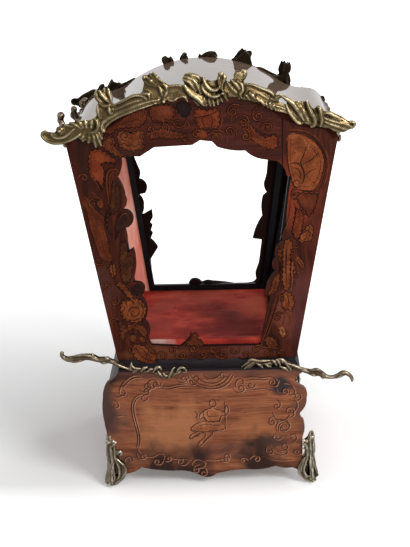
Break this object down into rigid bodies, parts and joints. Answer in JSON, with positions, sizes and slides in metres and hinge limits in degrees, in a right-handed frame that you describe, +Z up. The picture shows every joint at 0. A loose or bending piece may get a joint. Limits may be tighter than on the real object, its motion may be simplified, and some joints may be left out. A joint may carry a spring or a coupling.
{
  "type": "display cabinet in the form of a sedan chair",
  "caption": "Small inlaid display cabinet shaped like a sedan chair, with an arched roof, open windows, a hinged door, carrying-pole handles and cast mounts and feet.",
  "frame": {"origin": "on the surface it stands on, under the middle of the cabinet", "axes": "+Z up, +X to the door in the front wall, +Y to the far window wall"},
  "size_m": [0.418, 0.284, 0.593],
  "materials": {
    "silk": "worn pink and red silk",
    "ebonised_wood": "black stained, satin",
    "gilt_bronze": "gilt bronze, rubbed highlights and olive recesses",
    "polished_wood": "high gloss varnish",
    "plain_wood": "plain, unvarnished",
    "marquetry_wood": "dark red-brown veneer with amber inlay, varnished"
  },
  "bodies": {
    "cabinet": {"base_floor": "plain_wood", "cabin_floor": "plain_wood", "door_frame": "ebonised_wood", "far_base_panel": "marquetry_wood", "far_bottom_rail": "marquetry_wood", "far_frieze": "gilt_bronze", "far_front_foot": "gilt_bronze", "far_front_stile": "marquetry_wood", "far_rear_foot": "gilt_bronze", "far_rear_stile": "marquetry_wood", "far_top_rail": "marquetry_wood", "far_window_bead": "ebonised_wood", "floor_lining": "silk", "front_base_panel": "marquetry_wood", "front_frieze": "gilt_bronze", "hinge_posts": "gilt_bronze", "near_base_panel": "marquetry_wood", "near_bottom_rail": "marquetry_wood", "near_frieze": "gilt_bronze", "near_front_foot": "gilt_bronze", "near_front_pole": "gilt_bronze", "near_front_stile": "marquetry_wood", "near_rear_foot": "gilt_bronze", "near_rear_pole": "gilt_bronze", "near_rear_stile": "marquetry_wood", "near_top_rail": "marquetry_wood", "near_window_bead": "ebonised_wood", "rear_base_panel": "marquetry_wood", "rear_frieze": "gilt_bronze", "rear_lining": "silk", "rear_panel": "marquetry_wood", "roof": "polished_wood", "waist_cove": "ebonised_wood"},
    "door": {"door": "marquetry_wood", "door_bead": "ebonised_wood", "hinge_leaves": "gilt_bronze", "door_escutcheon": "gilt_bronze"}
  },
  "joints": [
    {"name": "door_hinge", "type": "hinge", "parent": "cabinet", "child": "door", "pos_m": [0.15278, 0.1085, 0.33924], "axis": [0.1721, 0, 0.9851], "range_deg": [0, 90]}
  ]
}
